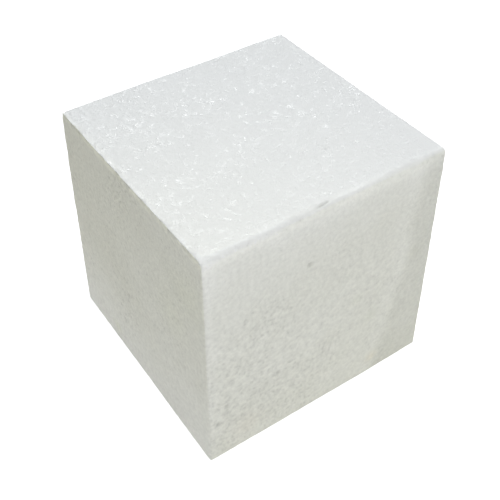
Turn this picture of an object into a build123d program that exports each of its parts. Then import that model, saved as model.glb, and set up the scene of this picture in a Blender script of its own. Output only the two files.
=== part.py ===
from build123d import *

import os

# Dry floral foam block: a plain cube of white expanded polystyrene, cut from a slab.
#
# The block is one solid piece of fused foam beads, with nothing inside it and nothing fixed to it.
# It stands on the XY plane with the origin at the centre of its underside, +Z up.
# -Y is the front and -X is the left side. All sizes are in millimetres.

# Overall size of the block
block_width = 100.0  # along X
block_depth = 100.0  # along Y
block_height = 100.0  # along Z

# An edge fresh from the hot wire or the saw is only just broken.
cut_edge_radius = 0.6

# Two edges at the front are rubbed round by handling.
front_top_edge_radius = 2.5
front_left_edge_radius = 1.5

# An edge can be rounded by no more than this share of the shorter of the two sides beside it.
rounding_limit = 0.45


def edge_radius(radius, side_a, side_b):
    """The radius, held back only where a side beside the edge is too short for it."""
    return min(radius, rounding_limit * side_a, rounding_limit * side_b)


with BuildPart() as foam_block:
    # The block as it was cut, every edge just broken
    Box(block_width, block_depth, block_height, align=(Align.CENTER, Align.CENTER, Align.MIN))
    smallest_side = min(block_width, block_depth, block_height)
    fillet(foam_block.edges(), radius=edge_radius(cut_edge_radius, smallest_side, smallest_side))

    # Front left upright edge, rubbed round: what is left inside the worn plan outline
    with BuildSketch(Plane.XY) as worn_plan:
        Rectangle(block_width, block_depth)
        front_left_corner = worn_plan.vertices().sort_by_distance((-block_width / 2, -block_depth / 2))[0]
        fillet(front_left_corner, radius=edge_radius(front_left_edge_radius, block_width, block_depth))
    extrude(amount=block_height, mode=Mode.INTERSECT)

    # Front top edge, rubbed round: what is left inside the worn profile, drawn with Y across and Z up
    with BuildSketch(Plane.YZ.offset(-block_width / 2)) as worn_profile:
        with Locations((0, block_height / 2)):
            Rectangle(block_depth, block_height)
        front_top_corner = worn_profile.vertices().sort_by_distance((-block_depth / 2, block_height))[0]
        fillet(front_top_corner, radius=edge_radius(front_top_edge_radius, block_depth, block_height))
    extrude(amount=block_width, mode=Mode.INTERSECT)

foam_block.part.label = "foam_block"

os.makedirs("parts", exist_ok=True)
export_step(foam_block.part, "parts/foam_block.step")
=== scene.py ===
import math

import bpy
import numpy as np
from bpy.props import FloatProperty, FloatVectorProperty, IntProperty, PointerProperty
from mathutils import Euler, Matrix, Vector


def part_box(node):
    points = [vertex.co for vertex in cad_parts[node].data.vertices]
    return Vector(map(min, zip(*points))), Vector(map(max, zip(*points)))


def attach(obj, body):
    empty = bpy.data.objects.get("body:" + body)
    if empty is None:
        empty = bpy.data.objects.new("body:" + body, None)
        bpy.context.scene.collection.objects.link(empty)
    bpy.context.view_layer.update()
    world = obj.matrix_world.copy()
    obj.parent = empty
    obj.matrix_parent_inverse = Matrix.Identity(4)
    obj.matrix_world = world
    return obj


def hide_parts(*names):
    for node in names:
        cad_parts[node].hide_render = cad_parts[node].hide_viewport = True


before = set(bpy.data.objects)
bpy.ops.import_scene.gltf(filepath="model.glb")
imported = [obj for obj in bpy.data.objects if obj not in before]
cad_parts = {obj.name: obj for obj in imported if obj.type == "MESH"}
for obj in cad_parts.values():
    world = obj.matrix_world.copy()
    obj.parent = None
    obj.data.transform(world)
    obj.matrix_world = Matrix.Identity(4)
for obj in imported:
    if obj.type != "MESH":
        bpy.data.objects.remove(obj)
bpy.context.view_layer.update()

bl_info = {
    "name": "Dry Foam Block",
    "version": (1, 0, 0),
    "blender": (4, 5, 0),
    "location": "View3D > Sidebar > Foam Block",
    "description": "Makes a cut cube of white bead foam in its CAD frame, and a studio for it",
    "category": "Add Mesh",
}

NODE = "foam_block"
PIECE = "foam_block_skin"
MM = 0.001  # metres

# Everything about the foam is worked out in millimetres, in the frame of the CAD part: the block
# stands on z = 0, -Y is the front and -X is the left side.
LOW, HIGH = (np.array(corner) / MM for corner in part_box(NODE))
CENTRE = (LOW + HIGH) / 2
HALF = (HIGH - LOW) / 2


# -------------------------------------------------------------------------------------------------
# Settings
# -------------------------------------------------------------------------------------------------

class FoamSettings(bpy.types.PropertyGroup):
    """The cut of the block, the beads it is made of, and its colours."""

    divisions: IntProperty(
        name="Divisions", default=128, min=16, max=129,
        description="Mesh cells along each side of the block")
    edge_step: FloatProperty(
        name="Edge step", default=0.26, min=0.05,
        description="Spacing of the mesh lines at an edge, in mm")
    edge_lines: IntProperty(
        name="Edge lines", default=15, min=2,
        description="Mesh lines over which the spacing opens out")
    cut_radius: FloatProperty(
        name="Cut edge", default=0.45, min=0.1,
        description="Rounding of an edge fresh from the cut, in mm")
    front_top_radius: FloatProperty(
        name="Front top edge", default=2.5, min=0.1,
        description="Rounding of the rubbed front top edge, in mm")
    front_left_radius: FloatProperty(
        name="Front left edge", default=1.5, min=0.1,
        description="Rounding of the rubbed upright edge, in mm")
    left_top_radius: FloatProperty(
        name="Left top edge", default=0.5, min=0.1,
        description="Rounding of the crumbled left top edge, in mm")
    lean: FloatProperty(
        name="Lean", default=1.5, min=0.0, max=3.0,
        description="How far the front, back and left faces lean in at the top, in mm")
    fall: FloatProperty(
        name="Fall", default=1.5, min=0.0, max=3.0,
        description="How far the top falls from front to back, in mm")

    bead_pitch: FloatProperty(
        name="Bead pitch", default=4.2, min=1.0,
        description="Distance from bead to bead, in mm")
    bead_scatter: FloatProperty(
        name="Bead scatter", default=0.8, min=0.0, max=1.0,
        description="How far the beads stray from even packing")
    bead_turn: FloatVectorProperty(
        name="Bead turn", subtype="EULER", default=(0.61, 0.37, 0.89),
        description="Turn of the packing against the cut faces")

    film_colour: FloatVectorProperty(
        name="Film", subtype="COLOR", default=(0.880, 0.882, 0.884), min=0.0, max=1.0,
        description="Foam skin left by the hot wire")
    # The sawn colour, greyer and warmer than the film's, is partly the foam's own and partly
    # painted shade of its open pores.
    sawn_colour: FloatVectorProperty(
        name="Sawn foam", subtype="COLOR", default=(0.800, 0.802, 0.741), min=0.0, max=1.0,
        description="Open sawn foam")
    film_roughness: FloatProperty(
        name="Film roughness", default=0.60, min=0.0, max=1.0,
        description="Roughness of the hot-cut skin")
    wrinkle_roughness: FloatProperty(
        name="Wrinkle roughness", default=0.26, min=0.0, max=1.0,
        description="Roughness of the film where it is drawn tight over a wrinkle")
    sawn_roughness: FloatProperty(
        name="Sawn roughness", default=0.75, min=0.0, max=1.0,
        description="Roughness of the sawn faces")


class StageSettings(bpy.types.PropertyGroup):
    """Floor, lights and camera."""

    floor_size: FloatProperty(
        name="Floor", default=4.0, unit="LENGTH",
        description="Side of the square floor")
    floor_colour: FloatVectorProperty(
        name="Floor colour", subtype="COLOR", default=(0.50, 0.50, 0.50), min=0.0, max=1.0,
        description="Colour of the floor")
    floor_glow: FloatProperty(
        name="Floor glow", default=0.54, min=0.0,
        description="Light that the lit-from-below floor gives off")
    heart_glow: FloatProperty(
        name="Heart glow", default=0.33, min=0.0,
        description="Light that the middle of the floor adds to that")
    heart_radius: FloatProperty(
        name="Heart radius", default=0.25, min=0.01, unit="LENGTH",
        description="Where the floor's bright middle begins to fade")
    heart_fade: FloatProperty(
        name="Heart fade", default=0.70, min=0.01, unit="LENGTH",
        description="Where the bright middle has faded out")
    room_colour: FloatVectorProperty(
        name="Room", subtype="COLOR", default=(1.0, 0.99, 0.96), min=0.0, max=1.0,
        description="Colour of the room's light")
    room_strength: FloatProperty(
        name="Room strength", default=0.05, min=0.0,
        description="Strength of the room's light")
    key_power: FloatProperty(
        name="Key power", default=6.2, min=0.0, unit="POWER",
        description="Power of the large soft light at the front right")
    side_power: FloatProperty(
        name="Side power", default=1.9, min=0.0, unit="POWER",
        description="Power of the large soft light high at the front left")
    near_power: FloatProperty(
        name="Near power", default=0.50, min=0.0, unit="POWER",
        description="Power of the small soft light before the front left edge")
    rear_power: FloatProperty(
        name="Rear power", default=5.4, min=0.0, unit="POWER",
        description="Power of the strip light low behind")
    high_power: FloatProperty(
        name="High power", default=2.9, min=0.0, unit="POWER",
        description="Power of the strip light high behind")
    lens: FloatProperty(
        name="Lens", default=62.51, min=1.0,
        description="Focal length of the camera, in mm")
    shift: FloatProperty(
        name="Shift", default=-0.056,
        description="Upward shift of the camera's view, as a share of its width")
    eye: FloatVectorProperty(
        name="Eye", subtype="XYZ", default=(-0.1366, -0.2056, 0.2797), unit="LENGTH",
        description="Where the camera stands")
    heading: FloatProperty(
        name="Heading", default=math.radians(56.10), subtype="ANGLE",
        description="Direction the camera looks in, round from +X")
    dip: FloatProperty(
        name="Dip", default=math.radians(42.17), subtype="ANGLE",
        description="How far the camera looks down")
    roll: FloatProperty(
        name="Roll", default=math.radians(-0.28), subtype="ANGLE",
        description="Roll of the camera to the left")


# -------------------------------------------------------------------------------------------------
# Small fields that the shape is made of
# -------------------------------------------------------------------------------------------------

def smooth(value, low, high):
    """0 below low, 1 above high, and 3t^2 - 2t^3 between them."""
    t = np.clip((value - low) / (high - low), 0.0, 1.0)
    return t * t * (3.0 - 2.0 * t)


def hill(distance, width):
    """A bell: 1 at distance 0, falling off as exp(-(distance / width)^2)."""
    return np.exp(-np.square(distance / width))


def ripple(points, wavelength, seed, waves=28):
    """A smooth random field of about unit spread: the sum of plane waves of one wavelength, each
    sin(k . p + phase) with its direction and its phase drawn at random."""
    rng = np.random.default_rng(seed)
    ways = rng.normal(size=(3, waves))
    ways *= 2.0 * math.pi / wavelength / np.linalg.norm(ways, axis=0)
    phases = rng.uniform(0.0, 2.0 * math.pi, waves)
    return np.sin(points @ ways + phases).sum(axis=1) * math.sqrt(2.0 / waves)


# -------------------------------------------------------------------------------------------------
# The block as it was cut
# -------------------------------------------------------------------------------------------------

def line_places(length, divisions, edge_step, edge_lines):
    """Places of the mesh lines along one side, from 0 to length. Each gap is edge_step at the two
    ends and opens out smoothly, over edge_lines lines, to whatever middle gap makes the gaps add
    up to the length."""
    number = np.arange(divisions) + 0.5
    open_share = smooth(np.minimum(number, divisions - number), 0.0, edge_lines)
    middle_step = (length - edge_step * (1.0 - open_share).sum()) / open_share.sum()
    gaps = edge_step + (middle_step - edge_step) * open_share
    return np.concatenate([[0.0], np.cumsum(gaps)])


def cube_skin(divisions):
    """The lattice points (i, j, k) on the surface of a cube of divisions^3 cells, each point once,
    and the surface's quads. Each of the six faces is a grid of two of the three numbers, with the
    third at 0 or at divisions; points that two faces share have one lattice number, so the skin is
    closed."""
    side = divisions + 1
    first, second = np.meshgrid(np.arange(side), np.arange(side), indexing="ij")
    keys = []
    for axis in range(3):
        for end in (0, divisions):
            face = np.empty((side, side, 3), dtype=np.int64)
            face[..., axis] = end
            face[..., (axis + 1) % 3] = first if end else second
            face[..., (axis + 2) % 3] = second if end else first
            keys.append((face[..., 0] * side + face[..., 1]) * side + face[..., 2])
    keys = np.array(keys)
    unique, place = np.unique(keys, return_inverse=True)
    place = place.reshape(keys.shape)
    corners = [place[:, :-1, :-1], place[:, 1:, :-1], place[:, 1:, 1:], place[:, :-1, 1:]]
    quads = np.stack(corners, axis=-1)
    lattice = np.stack([unique // side ** 2, unique // side % side, unique % side], axis=-1)
    return lattice, quads.reshape(-1, 4)


def round_edges(points, across, up, radius):
    """Rounds the four edges that run along the third axis, as a warp of space. Within radius of an
    edge, a point's two offsets from the arc's centre are scaled by their larger one over their
    length, which turns each square ring about the centre into a round one. radius is one number
    for each point."""
    flat = points[:, [across, up]] - CENTRE[[across, up]]
    inner = HALF[[across, up]] - radius[:, None]
    offset = np.abs(flat) - inner
    near = (offset > 0.0).all(axis=1)
    larger = offset.max(axis=1)
    scale = np.where(near, larger / np.maximum(np.linalg.norm(offset, axis=1), 1e-9), 1.0)
    rounded = np.sign(flat) * (inner + offset * scale[:, None])
    points[:, [across, up]] = np.where(near[:, None], rounded, flat) + CENTRE[[across, up]]


def worn(points, along, radius, seed):
    """The radius of a rubbed edge, which swells and shrinks as it goes along by up to about a
    quarter."""
    run = np.zeros_like(points)
    run[:, along] = points[:, along]
    return radius * (1.0 + 0.12 * ripple(run, 33.0, seed) + 0.06 * ripple(run, 13.0, seed + 1))


def cut_block(foam):
    """The plain block: a cube skin whose twelve edges are rounded one direction at a time, the
    rubbed ones more than the rest."""
    lattice, quads = cube_skin(foam.divisions)
    places = [line_places(2.0 * half, foam.divisions, foam.edge_step, foam.edge_lines)
              for half in HALF]
    points = np.stack([places[axis][lattice[:, axis]] for axis in range(3)], axis=-1) + LOW
    left = points[:, 0] < CENTRE[0]
    front = points[:, 1] < CENTRE[1]
    top = points[:, 2] > CENTRE[2]
    front_left = worn(points, 2, foam.front_left_radius, 11)
    front_top = worn(points, 0, foam.front_top_radius, 13)
    round_edges(points, 0, 1, np.where(left & front, front_left, foam.cut_radius))
    round_edges(points, 1, 2, np.where(front & top, front_top, foam.cut_radius))
    left_top = worn(points, 1, foam.left_top_radius, 15)
    round_edges(points, 0, 2, np.where(left & top, left_top, foam.cut_radius))
    return points, quads


# The saw's second pass on the front face. Its line is given as shares of the way across.
SAW_TOP = 0.905  # where the line meets the top
SAW_BEND = 0.148  # how much further left it is at the foot
SAW_WANDER = 0.005  # how far it wanders
SAW_SKIM = 0.04  # mm taken off the whole front
SAW_STEP = 0.14  # mm taken off past the line
SAW_SLOPE = 0.012  # mm more for each mm past the line
SAW_CREST = 0.04  # mm left standing before the step
SAW_DEPTH = 14.0  # mm behind the front where the set-back has faded out


def past_saw_line(square):
    """How far past the saw's second pass a point lies, to the right, in mm. The pass ran up the
    front face along a line that leans out to the right: SAW_TOP of the way across, less SAW_BEND
    times the square of what is left of the way up."""
    right, _, up = ((square - LOW) / (2.0 * HALF)).T
    line = SAW_TOP - SAW_BEND * np.square(1.0 - up)
    wander = SAW_WANDER * ripple(square * (0.0, 0.0, 1.0), 24.0, 31)
    return (right - line - wander) * 2.0 * HALF[0]


def out_of_square(foam, square):
    """The block as hand cutting leaves it: the front, back and left faces lean in by foam.lean at
    the top, and the top falls by foam.fall towards the back. Each move is the share of the way up
    times the share of the way to that face. Past the saw's line the front is set back by a step
    and a slope, with a low crest before the step, and the set-back fades out with depth."""
    right, back, up = ((square - LOW) / (2.0 * HALF)).T
    moves = np.stack(
        [foam.lean * (1.0 - right), foam.lean * (1.0 - 2.0 * back), -foam.fall * back], axis=-1)
    points = square + moves * up[:, None]
    past = past_saw_line(square)
    set_back = SAW_SKIM + SAW_STEP * smooth(past, -2.5, 3.5) + SAW_SLOPE * np.maximum(past, 0.0)
    set_back -= SAW_CREST * hill(past + 3.2, 2.2)
    points[:, 1] += set_back * (1.0 - smooth(square[:, 1] - LOW[1], 0.0, SAW_DEPTH))
    return points


def from_edge(square):
    """Distance in mm to the nearest edge: the second smallest of the distances to the faces."""
    return np.sort(HALF - np.abs(square - CENTRE), axis=1)[:, 1]


def point_normals(points, quads):
    """Outward normals at the points: the sum of the cross products of the diagonals of the quads
    around."""
    corners = points[quads]
    cross = np.cross(corners[:, 2] - corners[:, 0], corners[:, 3] - corners[:, 1])
    total = np.stack([np.bincount(quads.ravel(), np.repeat(cross[:, axis], 4), len(points))
                      for axis in range(3)], axis=-1)
    return total / np.linalg.norm(total, axis=1, keepdims=True)


# -------------------------------------------------------------------------------------------------
# The beads
# -------------------------------------------------------------------------------------------------

# The hash starts from HASH_START, plus the four bytes of each number that it takes in.
HASH_START = 0xDEADBEEF + 13
WORD = 4
LARGEST = 0xFFFFFFFF


def spin(value, bits):
    """A 32-bit number with its bits turned left."""
    return (value << np.uint32(bits)) | (value >> np.uint32(32 - bits))


def stir(a, b, c):
    """The last stirring of three 32-bit numbers in the lookup3 hash; the third is the hash."""
    c = (c ^ b) - spin(b, 14)
    a = (a ^ c) - spin(c, 11)
    b = (b ^ a) - spin(a, 25)
    c = (c ^ b) - spin(b, 16)
    a = (a ^ c) - spin(c, 4)
    b = (b ^ a) - spin(a, 14)
    return (c ^ b) - spin(b, 24)


def blend_in(a, b, c):
    """The mixing round of the same hash, for a fourth number."""
    a, c = (a - c) ^ spin(c, 4), c + b
    b, a = (b - a) ^ spin(a, 6), a + c
    c, b = (c - b) ^ spin(b, 8), b + a
    a, c = (a - c) ^ spin(c, 16), c + b
    b, a = (b - a) ^ spin(a, 19), a + c
    c, b = (c - b) ^ spin(b, 4), b + a
    return a, b, c


def cell_randoms(cells):
    """Three random numbers from 0 to 1 for each cell of the packing. They are those of the Voronoi
    texture node, so that the shape and the material have the same beads."""
    with np.errstate(over="ignore"):
        x, y, z = (cells[..., axis].astype(np.float32).view(np.uint32) for axis in range(3))
        three = np.uint32(HASH_START + 3 * WORD)
        four = np.uint32(HASH_START + 4 * WORD)
        randoms = [stir(x + three, y + three, z + three)]
        for extra in (1.0, 2.0):
            a, b, c = blend_in(x + four, y + four, z + four)
            randoms.append(stir(a + np.float32(extra).view(np.uint32), b, c))
    return np.stack(randoms, axis=-1) / float(LARGEST)


def bead_map(foam, points):
    """The bead that each point lies in. The beads are the cells nearest to the scattered points of
    a turned lattice. Returns the bead's centre, its three random numbers, the distance to its
    nearest boundary and to the next nearest, and the direction of the nearest: boundaries lie
    midway between two bead centres."""
    turn = np.array(Euler(foam.bead_turn).to_matrix())
    packed = points @ turn.T / foam.bead_pitch
    home = np.floor(packed)
    steps = np.stack(np.meshgrid(*[(-1.0, 0.0, 1.0)] * 3, indexing="ij"), axis=-1).reshape(-1, 1, 3)
    cells = home + steps
    randoms = cell_randoms(cells)
    offsets = cells + randoms * foam.bead_scatter - packed
    own = np.square(offsets).sum(axis=-1).argmin(axis=0)
    every = np.arange(len(points))
    to_own = offsets[own, every]
    apart = offsets - to_own
    gap = np.linalg.norm(apart, axis=-1)
    apart /= np.maximum(gap, 1e-6)[..., None]
    reach = ((offsets + to_own) / 2.0 * apart).sum(axis=-1)
    reach[gap < 0.01] = np.inf
    order = np.argsort(reach, axis=0)[:2]
    nearest, second = (reach[order[rank], every] * foam.bead_pitch for rank in range(2))
    towards = apart[order[0], every] @ turn
    centre = points + to_own @ turn * foam.bead_pitch
    return centre, randoms[own, every], nearest, second, towards


SLIDE_SHARE = 0.35  # of the mesh step, which keeps the quads open


def meet_boundaries(points, normals, step, nearest, towards):
    """Slides points that lie close to a bead's boundary along the surface on to it, so that the
    rims and the grooves run along mesh edges. A point moves by less than SLIDE_SHARE of the mesh
    step, and stays where it is if the boundary runs nearly along the surface."""
    along = towards - (towards * normals).sum(axis=1, keepdims=True) * normals
    slope = np.square(along).sum(axis=1)
    slide = nearest / np.maximum(slope, 0.05)
    moves = (slide * np.sqrt(slope) < SLIDE_SHARE * step) & (slope > 0.2)
    return points + np.where(moves[:, None], along * slide[:, None], 0.0)


# -------------------------------------------------------------------------------------------------
# Relief and tone
# -------------------------------------------------------------------------------------------------

# Marks of handling. Each has its face, then its place across and up that face as shares. On the
# front and the left across runs from the edge between them, and on the top across is +X, up +Y.
PITS = (  # radius and depth in mm
    ("front", 0.42, 0.77, 0.55, 0.70), ("front", 0.16, 0.66, 0.50, 0.45),
    ("front", 0.25, 0.27, 0.55, 0.50), ("front", 0.30, 0.30, 0.50, 0.45),
    ("front", 0.08, 0.27, 0.50, 0.45), ("front", 0.04, 0.19, 0.60, 0.55),
    ("left", 0.16, 0.38, 0.60, 0.75), ("left", 0.57, 0.39, 0.60, 0.50),
    ("top", 0.66, 0.25, 0.32, 0.25),
)
SCRAPS = (  # radius and height in mm of a scrap of film or a crumb that stands up
    ("top", 0.17, 0.82, 0.9, 0.24), ("top", 0.15, 0.75, 0.8, 0.20),
    ("top", 0.48, 0.74, 0.7, 0.16), ("top", 0.65, 0.46, 0.7, 0.16),
    ("top", 0.86, 0.43, 0.7, 0.20), ("top", 0.23, 0.18, 0.9, 0.24),
    ("top", 0.32, 0.31, 0.8, 0.20), ("top", 0.71, 0.53, 0.7, 0.16),
    ("top", 0.59, 0.30, 0.7, 0.16), ("top", 0.41, 0.11, 0.7, 0.16),
    ("front", 0.36, 0.86, 0.6, 0.12), ("front", 0.37, 0.45, 0.6, 0.20),
    ("left", 0.18, 0.83, 0.7, 0.14), ("left", 0.31, 0.80, 0.7, 0.12),
    ("left", 0.09, 0.25, 0.6, 0.12),
)
STAINS = (  # radius in mm, and what is left of the red, green and blue
    ("front", 0.16, 0.10, 6.0, (0.995, 0.978, 0.965)),
    ("front", 0.755, 0.085, 2.8, (0.995, 0.965, 0.915)),
    ("front", 0.65, 0.47, 2.2, (0.960, 0.965, 0.945)),
    ("front", 0.73, 0.34, 2.6, (0.960, 0.965, 0.945)),
    ("front", 0.91, 0.57, 3.0, (0.970, 0.970, 0.955)),
    ("left", 0.10, 0.78, 11.0, (0.985, 0.992, 0.955)),
    ("left", 0.22, 0.60, 9.0, (0.992, 0.997, 0.970)),
    ("left", 0.72, 0.07, 3.0, (0.985, 0.995, 0.940)),
)
FACES = {  # outward normal, then the directions of across and up
    "front": ((0, -1, 0), (1, 0, 0), (0, 0, 1)),
    "left": ((-1, 0, 0), (0, 1, 0), (0, 0, 1)),
    "top": ((0, 0, 1), (1, 0, 0), (0, 1, 0)),
}


class Skin:
    """The points of the skin: where they are on the square block and on the finished one, which
    way they face, and the bead that each is in."""

    def __init__(self, foam, square, points, normals):
        self.square = square
        self.points = points
        self.normals = normals
        self.share = (square - LOW) / (2.0 * HALF)
        self.edge = from_edge(square)
        self.film = smooth(np.abs(normals[:, 2]), 0.45, 0.98)
        self.centre, self.draws, self.nearest, self.second, _ = bead_map(foam, points)

    def face(self, name):
        """How far across and up a face each point lies, as shares from 0 to 1, and how squarely it
        faces out of it."""
        out, across, up = (np.array(way, dtype=float) for way in FACES[name])
        return self.share @ across, self.share @ up, smooth(self.normals @ out, 0.5, 0.9)

    def spot(self, name, across, up, radius):
        """A bell of that radius in mm on one face, centred on the nearest point of the mesh."""
        u, v, on_face = self.face(name)
        span_u, span_v = (2.0 * HALF @ np.abs(way) for way in FACES[name][1:])
        distance = np.hypot((u - across) * span_u, (v - up) * span_v)
        return on_face * hill(distance - distance[on_face > 0.5].min(), radius)


def coarseness(skin):
    """How coarse the cut is, from 0 to about 1: the film is most wrinkled along the left of the
    top and a little along its right, and the foam is torn low on the left of the front and a
    little near every edge."""
    u, v, on_front = skin.face("front")
    torn = 0.22 + 0.16 * ripple(skin.points, 31.0, 21) + 0.10 * hill(skin.edge, 7.0)
    torn += on_front * 0.95 * hill(u - 0.16, 0.42) * hill(v - 0.12, 0.42)
    across, _, _ = skin.face("top")
    wrinkled = 0.55 + 0.16 * ripple(skin.points, 26.0, 29) + 0.30 * hill(across, 0.25)
    wrinkled += 0.10 * hill(across - 1, 0.3)
    return np.clip(torn + (wrinkled - torn) * skin.film, 0.0, 1.3)


# Relief, in mm
SAG = 0.050  # of a bead's film between its rims
FILM_TIP = 0.020  # at 1 mm from the bead's middle
GROOVE = 0.045  # between sawn beads
BEAD_STEP = 0.050  # between sawn beads that are cut high and low
SAWN_TIP = 0.018  # at 1 mm from the bead's middle
LOOSE = 0.05  # a bead that came away at an edge
CRUMBLED = 0.35  # and how much more where the top meets the left side
SPLIT = 0.55  # in the film at the front top edge
SWELL = 0.05  # of the whole face
ROOM = 0.20  # kept on every face but the underside for what stands up


def relief(skin, coarse):
    """Height of the real surface against the plain block, in mm and never above it."""
    tip = ((skin.draws - 0.5) * (skin.points - skin.centre)).sum(axis=1)

    # Hot-cut film: each bead sags between its rims and tips a little, under fine wrinkles.
    sag = (0.3 + 0.9 * skin.draws[:, 0]) * (1.0 - hill(skin.nearest, 0.8))
    wrinkle = 0.6 * ripple(skin.points, 2.6, 32) + 0.4 * ripple(skin.points, 1.9, 33)
    film_height = -SAG * sag + FILM_TIP * tip + (0.009 + 0.018 * coarse) * wrinkle

    # Sawn foam: low pillows with grooves between, cut a little high or low, torn at the corners.
    sawn_height = -GROOVE * hill(skin.nearest, 0.42) + BEAD_STEP * (skin.draws[:, 1] - 0.5)
    sawn_height += SAWN_TIP * tip
    rough = ripple(skin.points, 3.1, 22) + ripple(skin.points, 2.0, 23)
    sawn_height += (0.012 + 0.030 * coarse) * rough
    junction = hill(skin.second, 0.55) * smooth(ripple(skin.points, 5.0, 24), 0.6, 1.3)
    sawn_height -= (0.01 + 0.14 * coarse) * junction

    height = sawn_height + (film_height - sawn_height) * skin.film
    height += SWELL * ripple(skin.points, 47.0, 25)

    # An edge is ragged where beads came away, most of all between the top and the left side.
    left_top = hill(skin.square[:, 0] - LOW[0], 3.0) * hill(skin.square[:, 2] - HIGH[2], 3.0)
    loose = smooth(skin.draws[:, 2], 0.45, 0.80) * hill(skin.edge, 1.3)
    height -= (LOOSE + CRUMBLED * left_top) * loose

    for face, across, up, radius, depth in PITS:
        height -= depth * skin.spot(face, across, up, radius)
    for face, across, up, radius, rise in SCRAPS:
        height += rise * skin.spot(face, across, up, radius)
    height -= SPLIT * edge_split(skin)

    # The underside stands on z = 0 with its high places. The other faces keep room for the scraps.
    room = ROOM * (1.0 - smooth(-skin.normals[:, 2], 0.3, 0.9))
    return np.minimum(height - room, 0.0)


def edge_split(skin):
    """1 along a short split in the film at the front top edge, a bell across a line that draws
    away from the edge to the right."""
    x, y, _ = (skin.square - LOW).T
    middle = 1.5 + 0.10 * (x - 45.5)
    length = smooth(x, 43.8, 46.0) * (1.0 - smooth(x, 49.0, 50.2))
    return length * hill(y - middle, 0.34) * skin.film


# Tones, as red, green and blue
DUST_AND_SHADE = (0.96, 0.98, 1.30)  # what dust and painted shade take away, and painted light gives back
FRONT_TOP_HIGHLIGHT = (0.135, 0.135, 0.120)  # painted highlight along the rounded, rubbed front top edge
SAW_STRIP_SHADE = (1.0, 1.0, 1.06)  # painted shade, a little warm, of the strip past the saw's line
CORNER_LIGHT_PAINT = (0.050, 0.045, 0.005)  # painted light the film gets at the front left corner
BACK_SHADE_PAINT = (0.024, 0.022, 0.020)  # painted shade the film gets at the back
CRUMB_HIGHLIGHT = (0.24, 0.24, 0.20)  # painted highlight on the torn beads of the left top edge
FILM_CEILING = (1.10, 1.10, 1.08)  # the brightest tone of the film
SAWN_HEADROOM = (0.11, 0.11, 0.20)  # how much brighter the darker sawn foam may be toned
PIT_SHADE = 0.18  # share of the tone lost in a pit
SCRAP_SHINE = 0.04  # painted highlight on a scrap, as a share of the tone
SPLIT_SHADE = 0.25  # share lost in the split


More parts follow.
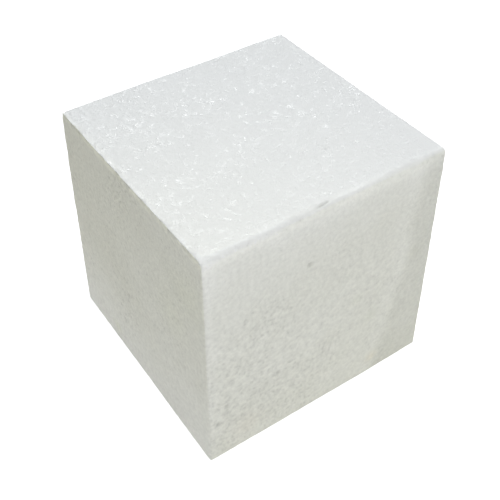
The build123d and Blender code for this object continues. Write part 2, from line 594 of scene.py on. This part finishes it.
def weathering_and_painted_light(skin, coarse):
    """The tone that multiplies the foam's colour: red, green and blue of each point, 1 where the
    foam is plain, less where dust, stains and painted shade darken it, and more where light is
    painted, as along the rubbed front top edge."""
    past = past_saw_line(skin.square)
    u, v, on_front = skin.face("front")
    sawn = 1.0 - skin.film

    # Dust in the sawn foam: blotches. The front darkens towards its foot and its right, partly dust
    # and partly painted shade. Painted light brightens the saw's crest, bands beside the front's
    # top and left edges, which end in wavy lines, and the upper left of the front.
    blotch = 0.6 * ripple(skin.points, 38.0, 26) + 0.45 * ripple(skin.points, 13.0, 27)
    dust_and_shade = sawn * (0.009 * blotch + 0.008 * coarse)
    foot = np.power(np.clip(1.0 - v, 0.0, 1.0), 2.2)
    # Painted shade, with some dust, towards the foot and the right of the front.
    dust_and_shade += on_front * (0.085 * foot + 0.035 * (u - 0.5))
    # Painted highlight on the saw's crest.
    dust_and_shade -= on_front * 0.020 * hill(past + 4.5, 3.5)
    # Painted light in bands beside the front's top and left edges, and at its upper left.
    swell = 1.8 * ripple(skin.square * (1.0, 0.0, 0.0), 21.0, 34)
    from_top = HIGH[2] - skin.square[:, 2] + swell
    top_band_light = 0.055 * (1.0 - smooth(from_top, 1.0, 9.0)) + 0.050 * (1.0 - smooth(from_top, 2.0, 26.0))
    dust_and_shade -= on_front * top_band_light
    swell = 0.9 * ripple(skin.square * (0.0, 0.0, 1.0), 17.0, 35)
    dust_and_shade -= on_front * 0.030 * (1.0 - smooth(skin.square[:, 0] - LOW[0] + swell, 2.5, 6.5))
    dust_and_shade -= on_front * 0.045 * (1.0 - smooth(u, 0.0, 0.5)) * smooth(v, 0.55, 1.0)

    # Painted shade greys the left side high up at the back, and painted light brightens it along
    # its foot; it is also a little yellower higher up.
    across, up, on_left = skin.face("left")
    far_high_shade = smooth(across, -0.1, 1.0) * smooth(up, -0.1, 0.5)
    dust_and_shade += on_left * (0.080 * far_high_shade - 0.050 * hill(up, 0.20))
    tone = 1.0 - dust_and_shade[:, None] * DUST_AND_SHADE
    tone[:, 2] -= 0.030 * on_left * smooth(up, -0.5, 0.9)

    # The rounded front top edge gets a painted highlight, and the strip past the saw's line, which
    # leans back, gets painted shade.
    rubbed = hill(skin.square[:, 1] - LOW[1], 2.4) * hill(skin.square[:, 2] - HIGH[2], 3.4)
    tone += rubbed[:, None] * FRONT_TOP_HIGHLIGHT
    tone -= (on_front * 0.095 * smooth(past, -3.0, 4.0))[:, None] * SAW_STRIP_SHADE

    # Painted light makes the film bright and a little warm at the front left corner, and painted
    # shade greys it away from there.
    right, back, _ = skin.share.T
    tone += (skin.film * (0.035 - 0.055 * (right + back)))[:, None]
    tone += (skin.film * (1.0 - right) * (1.0 - back))[:, None] * CORNER_LIGHT_PAINT
    tone -= (skin.film * back)[:, None] * BACK_SHADE_PAINT

    for face, across, up, radius, left_over in STAINS:
        tone *= 1.0 - skin.spot(face, across, up, radius)[:, None] * (1.0 - np.array(left_over))
    for face, across, up, radius, _ in PITS:
        tone *= 1.0 - PIT_SHADE * skin.spot(face, across, up, radius)[:, None]
    # Scraps get a painted highlight.
    for face, across, up, radius, _ in SCRAPS:
        tone *= 1.0 + SCRAP_SHINE * skin.spot(face, across, up, radius)[:, None]
    tone *= 1.0 - SPLIT_SHADE * edge_split(skin)[:, None]

    # The torn beads along the left top edge get a painted highlight, a little yellow.
    crumb_glints = hill(skin.square[:, 0] - LOW[0], 1.6) * hill(skin.square[:, 2] - HIGH[2], 2.2)
    crumb_glints *= smooth(skin.draws[:, 2], 0.1, 0.5)
    tone *= 1.0 + crumb_glints[:, None] * CRUMB_HIGHLIGHT

    # No place is brighter than foam can be.
    return np.minimum(tone, FILM_CEILING + sawn[:, None] * SAWN_HEADROOM)


# -------------------------------------------------------------------------------------------------
# Mesh and material
# -------------------------------------------------------------------------------------------------

def block_skin(foam):
    """The finished skin: the plain block, brought out of square, its points slid on to the bead
    boundaries, then moved in along their normals by the relief. Returns the points, the quads, and
    for each point the film's cover, the coarseness and the tone."""
    square, quads = cut_block(foam)
    points = out_of_square(foam, square)
    normals = point_normals(points, quads)
    _, _, nearest, _, towards = bead_map(foam, points)
    edge = from_edge(square)
    open_step = 1.9 * HALF.max() / foam.divisions
    step = foam.edge_step + (open_step - foam.edge_step) * smooth(edge, 0.0, 8.0)
    slid = meet_boundaries(points, normals, step, nearest, towards)
    slid = np.where(edge[:, None] > 1.5, slid, points)
    skin = Skin(foam, square + slid - points, slid, normals)
    coarse = coarseness(skin)
    finished = slid + normals * relief(skin, coarse)[:, None]
    return finished, quads, skin.film, coarse, weathering_and_painted_light(skin, coarse)


def make_mesh(name, points, quads, film, coarse, tone):
    """Puts the skin into a mesh, in metres, with the film's cover, the coarseness and the tone as
    attributes."""
    mesh = bpy.data.meshes.new(name)
    mesh.from_pydata(points * MM, [], quads)
    for title, values in (("film", film), ("coarse", coarse)):
        attribute = mesh.attributes.new(title, "FLOAT", "POINT")
        attribute.data.foreach_set("value", values.astype(np.float32))
    colour = mesh.attributes.new("tone", "FLOAT_COLOR", "POINT")
    opaque = np.column_stack([tone, np.ones(len(tone))])
    colour.data.foreach_set("color", opaque.astype(np.float32).ravel())
    mesh.polygons.foreach_set("use_smooth", np.ones(len(quads), dtype=bool))
    mesh.update()
    mesh.validate()
    return mesh


class NodeBench:
    """Adds nodes to a material and joins them."""

    def __init__(self, material):
        material.use_nodes = True
        self.tree = material.node_tree
        self.tree.nodes.clear()

    def add(self, kind, inputs=None, **settings):
        """A node of that kind. An input is a value, or a socket to link from."""
        node = self.tree.nodes.new(kind)
        for key, value in settings.items():
            setattr(node, key, value)
        for key, value in (inputs or {}).items():
            if isinstance(value, bpy.types.NodeSocket):
                self.tree.links.new(value, node.inputs[key])
            else:
                node.inputs[key].default_value = value
        return node

    def math(self, operation, *values):
        """The result of a Math node."""
        return self.add("ShaderNodeMath", dict(enumerate(values)), operation=operation).outputs[0]

    def span(self, value, low, high, to_low, to_high):
        """value carried smoothly from low..high to to_low..to_high, and held beyond them."""
        inputs = {
            "Value": value, "From Min": low, "From Max": high, "To Min": to_low, "To Max": to_high}
        node = self.add("ShaderNodeMapRange", inputs, interpolation_type="SMOOTHSTEP")
        return node.outputs["Result"]

    def grey(self, shade):
        """A colour whose red, green and blue are all shade."""
        parts = {"Red": shade, "Green": shade, "Blue": shade}
        return self.add("ShaderNodeCombineColor", parts).outputs["Color"]

    def tint(self, colour, other, share=1.0, blend="MULTIPLY"):
        """Two colours mixed."""
        node = self.add("ShaderNodeMix", data_type="RGBA", blend_type=blend)
        for key, value in ((0, share), (6, colour), (7, other)):
            if isinstance(value, bpy.types.NodeSocket):
                self.tree.links.new(value, node.inputs[key])
            else:
                node.inputs[key].default_value = value
        return node.outputs[2]


# Scales of the material's noises, in swells to the metre
GRAIN_SCALE = 640.0
FINE_SCALE = 2300.0
PATCH_SCALE = 520.0
DRIFT_SCALE = 60.0

# Heights of the material's bumps, in metres
FILM_GRAIN = 0.00024
FILM_WRINKLE = 0.00006
SAWN_GRAIN = (0.00026, 0.00040)  # where the cut is fine, and where it is coarse
SAWN_FINE = 0.00008
SAWN_RIM = -0.00002  # in the grooves between beads
SAWN_TORN = -0.00005


def foam_material(foam):
    """White bead foam. The bead pattern is that of the shape, so its rims and grooves are finished
    here at a finer scale. Where the film attribute is 1 the foam has a hot-cut skin, and where it
    is 0 it is sawn."""
    material = bpy.data.materials.new("bead_foam")
    bench = NodeBench(material)
    place = bench.add("ShaderNodeTexCoord").outputs["Object"]
    to_beads = 1.0 / (foam.bead_pitch * MM)
    packed = bench.add("ShaderNodeMapping", {
        "Vector": place, "Rotation": tuple(foam.bead_turn), "Scale": (to_beads, to_beads, to_beads),
    }).outputs["Vector"]
    film = bench.add("ShaderNodeAttribute", attribute_name="film").outputs["Fac"]
    coarse = bench.add("ShaderNodeAttribute", attribute_name="coarse").outputs["Fac"]
    tone = bench.add("ShaderNodeAttribute", attribute_name="tone").outputs["Color"]

    def noise(scale, detail):
        inputs = {"Vector": place, "Scale": scale, "Detail": detail, "Roughness": 0.6}
        return bench.add("ShaderNodeTexNoise", inputs).outputs["Fac"]

    def cell_edge(scale, scatter):
        inputs = {"Vector": packed, "Scale": scale, "Randomness": scatter}
        cells = bench.add("ShaderNodeTexVoronoi", inputs, feature="DISTANCE_TO_EDGE")
        return cells.outputs["Distance"]

    grain = bench.math("SUBTRACT", noise(GRAIN_SCALE, 4.0), 0.5)
    fine = bench.math("SUBTRACT", noise(FINE_SCALE, 2.0), 0.5)
    patches = noise(PATCH_SCALE, 1.0)
    drift = bench.math("SUBTRACT", noise(DRIFT_SCALE, 2.0), 0.5)

    # Rims and creases stand out in the film only here and there, more where it is wrinkled.
    opening = bench.span(coarse, 0.0, 1.0, 0.60, 0.51)
    shown = bench.span(patches, opening, bench.math("ADD", opening, 0.12), 0.0, 1.0)
    rim = bench.span(cell_edge(1.0, foam.bead_scatter), 0.0, 0.10, 1.0, 0.0)
    film_rim = bench.math("MULTIPLY", rim, bench.math("MULTIPLY_ADD", shown, 0.93, 0.07))
    crease = bench.math("MULTIPLY", bench.span(cell_edge(3.1, 1.0), 0.0, 0.16, 1.0, 0.4), shown)
    wrinkle = bench.math("MAXIMUM", film_rim, crease)

    # Torn cells are the low places of the grain. There are more of them where the cut is coarse.
    depth = bench.span(coarse, 0.0, 1.1, -0.16, -0.07)
    torn = bench.span(grain, bench.math("SUBTRACT", depth, 0.08), depth, 1.0, 0.0)

    # Height
    film_height = bench.math("MULTIPLY", wrinkle, FILM_WRINKLE)
    film_height = bench.math("MULTIPLY_ADD", grain, FILM_GRAIN, film_height)
    sawn_height = bench.math("MULTIPLY", grain, bench.span(coarse, 0.0, 1.0, *SAWN_GRAIN))
    for mark, rise in ((fine, SAWN_FINE), (rim, SAWN_RIM), (torn, SAWN_TORN)):
        sawn_height = bench.math("MULTIPLY_ADD", mark, rise, sawn_height)
    to_film = bench.math("SUBTRACT", film_height, sawn_height)
    height = bench.math("MULTIPLY_ADD", to_film, film, sawn_height)
    bump = bench.add("ShaderNodeBump", {"Height": height, "Distance": 1.0, "Strength": 1.0})

    # Colour
    colour = bench.tint((*foam.sawn_colour, 1.0), (*foam.film_colour, 1.0), film, "MIX")
    colour = bench.tint(colour, tone)
    sawn = bench.math("SUBTRACT", 1.0, film)
    grain_share = bench.math("MULTIPLY", sawn, bench.span(coarse, 0.0, 1.0, 0.34, 0.54))
    shade = bench.math("MULTIPLY_ADD", grain, grain_share, 1.0)
    # Torn cells, the low places of the grain, get a little painted shade.
    shade = bench.math("MULTIPLY_ADD", bench.math("MULTIPLY", torn, sawn), -0.04, shade)
    shade = bench.math("MULTIPLY_ADD", drift, 0.05, shade)
    # The film's rims and creases get a painted highlight.
    shade = bench.math("MULTIPLY_ADD", bench.math("MULTIPLY", wrinkle, film), 0.04, shade)
    colour = bench.tint(colour, bench.grey(shade))

    # Roughness
    film_rough = bench.span(wrinkle, 0.0, 0.8, foam.film_roughness, foam.wrinkle_roughness)
    to_film = bench.math("SUBTRACT", film_rough, foam.sawn_roughness)
    rough = bench.math("MULTIPLY_ADD", to_film, film, foam.sawn_roughness)

    shader = bench.add("ShaderNodeBsdfPrincipled", {
        "Base Color": colour, "Roughness": rough, "Normal": bump.outputs["Normal"], "IOR": 1.5})
    bench.add("ShaderNodeOutputMaterial", {"Surface": shader.outputs["BSDF"]})
    return material


# -------------------------------------------------------------------------------------------------
# Operators
# -------------------------------------------------------------------------------------------------

class FOAM_OT_add_block(bpy.types.Operator):
    """Makes the block of bead foam in place of its plain CAD solid"""

    bl_idname = "foam.add_block"
    bl_label = "Add Foam Block"
    bl_options = {"REGISTER", "UNDO"}

    def execute(self, context):
        foam = context.scene.foam_settings
        block = bpy.data.objects.new(PIECE, make_mesh(PIECE, *block_skin(foam)))
        context.scene.collection.objects.link(block)
        block.data.materials.append(foam_material(foam))
        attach(block, "root")
        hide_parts(NODE)
        return {"FINISHED"}


def floor_material(stage):
    """Opal acrylic lit from below, brightest in the middle and slightly mottled."""
    material = bpy.data.materials.new("floor_acrylic")
    bench = NodeBench(material)
    place = bench.add("ShaderNodeTexCoord").outputs["Object"]
    cloud = bench.add("ShaderNodeTexNoise", {"Vector": place, "Scale": 3.0, "Detail": 2.0})
    shade = bench.span(cloud.outputs["Fac"], 0.3, 0.7, 0.98, 1.0)
    colour = bench.tint((*stage.floor_colour, 1.0), bench.grey(shade))
    reach = bench.add("ShaderNodeVectorMath", {"Vector": place}, operation="LENGTH")
    glow = bench.span(reach.outputs["Value"], stage.heart_radius, stage.heart_fade,
                      stage.floor_glow + stage.heart_glow, stage.floor_glow)
    shader = bench.add("ShaderNodeBsdfPrincipled", {
        "Base Color": colour, "Roughness": 0.8, "Specular IOR Level": 0.2,
        "Emission Color": (1.0, 1.0, 1.0, 1.0), "Emission Strength": glow})
    bench.add("ShaderNodeOutputMaterial", {"Surface": shader.outputs["BSDF"]})
    return material


DAYLIGHT = (0.97, 0.995, 1.0)
COOL = (0.96, 0.99, 1.0)
WARM = (1.0, 1.0, 0.98)
LIGHTS = (  # name, width and height in metres, colour, place
    ("key", 0.80, 0.80, DAYLIGHT, (0.26, -0.32, 1.15)),
    ("side", 0.80, 0.80, DAYLIGHT, (-0.30, -0.20, 1.15)),
    ("near", 0.30, 0.30, WARM, (-0.16, -0.43, 0.56)),
    ("rear", 0.90, 0.12, COOL, (0.62, 1.05, 0.66)),
    ("high", 0.60, 0.12, COOL, (0.41, 0.83, 1.09)),
)


def soft_light(name, power, width, height, colour, place, aim):
    """A soft light of that width and height that faces its aim."""
    lamp = bpy.data.lights.new(name, "AREA")
    lamp.energy = power
    lamp.shape = "RECTANGLE"
    lamp.size = width
    lamp.size_y = height
    lamp.color = colour
    light = bpy.data.objects.new(name, lamp)
    light.location = place
    light.rotation_euler = (Vector(aim) - Vector(place)).to_track_quat("-Z", "Y").to_euler()
    bpy.context.scene.collection.objects.link(light)


class FOAM_OT_set_stage(bpy.types.Operator):
    """Lays the floor, sets the lights and places the camera"""

    bl_idname = "foam.set_stage"
    bl_label = "Set Stage"
    bl_options = {"REGISTER", "UNDO"}

    def execute(self, context):
        scene = context.scene
        stage = scene.foam_stage
        corners = np.array([(-1.0, -1.0, 0.0), (1.0, -1.0, 0.0), (1.0, 1.0, 0.0), (-1.0, 1.0, 0.0)])
        mesh = bpy.data.meshes.new("floor")
        mesh.from_pydata(corners * stage.floor_size / 2.0, [], [(0, 1, 2, 3)])
        mesh.materials.append(floor_material(stage))
        floor = bpy.data.objects.new("floor", mesh)
        scene.collection.objects.link(floor)

        world = bpy.data.worlds.new("room")
        world.use_nodes = True
        room = world.node_tree.nodes["Background"].inputs
        room["Color"].default_value = (*stage.room_colour, 1.0)
        room["Strength"].default_value = stage.room_strength
        scene.world = world

        middle = (0.0, 0.0, CENTRE[2] * MM)
        for name, width, height, colour, place in LIGHTS:
            soft_light(name, getattr(stage, name + "_power"), width, height, colour, place, middle)

        lens = bpy.data.cameras.new("camera")
        lens.lens = stage.lens
        lens.shift_y = stage.shift
        lens.sensor_width = 36.0
        lens.clip_start = 0.01
        camera = bpy.data.objects.new("camera", lens)
        camera.location = stage.eye
        level = math.cos(stage.dip)
        east = level * math.cos(stage.heading)
        north = level * math.sin(stage.heading)
        ahead = Vector((east, north, -math.sin(stage.dip)))
        level_turn = ahead.to_track_quat("-Z", "Y").to_matrix()
        turn = level_turn @ Euler((0.0, 0.0, stage.roll)).to_matrix()
        camera.rotation_euler = turn.to_euler()
        scene.collection.objects.link(camera)
        scene.camera = camera
        scene.view_settings.view_transform = "Standard"
        return {"FINISHED"}


class FOAM_PT_panel(bpy.types.Panel):
    """Sizes, colours and the two building steps"""

    bl_idname = "FOAM_PT_panel"
    bl_label = "Foam Block"
    bl_space_type = "VIEW_3D"
    bl_region_type = "UI"
    bl_category = "Foam Block"

    def draw(self, context):
        scene = context.scene
        steps = ((scene.foam_settings, FOAM_OT_add_block), (scene.foam_stage, FOAM_OT_set_stage))
        for settings, operator in steps:
            box = self.layout.box()
            for name in settings.__annotations__:
                box.prop(settings, name)
            box.operator(operator.bl_idname)


CLASSES = (FoamSettings, StageSettings, FOAM_OT_add_block, FOAM_OT_set_stage, FOAM_PT_panel)


def register():
    for item in CLASSES:
        bpy.utils.register_class(item)
    bpy.types.Scene.foam_settings = PointerProperty(type=FoamSettings)
    bpy.types.Scene.foam_stage = PointerProperty(type=StageSettings)


def unregister():
    del bpy.types.Scene.foam_stage
    del bpy.types.Scene.foam_settings
    for item in reversed(CLASSES):
        bpy.utils.unregister_class(item)


def main():
    register()
    bpy.ops.foam.add_block()
    bpy.ops.foam.set_stage()


if __name__ == "__main__":
    main()
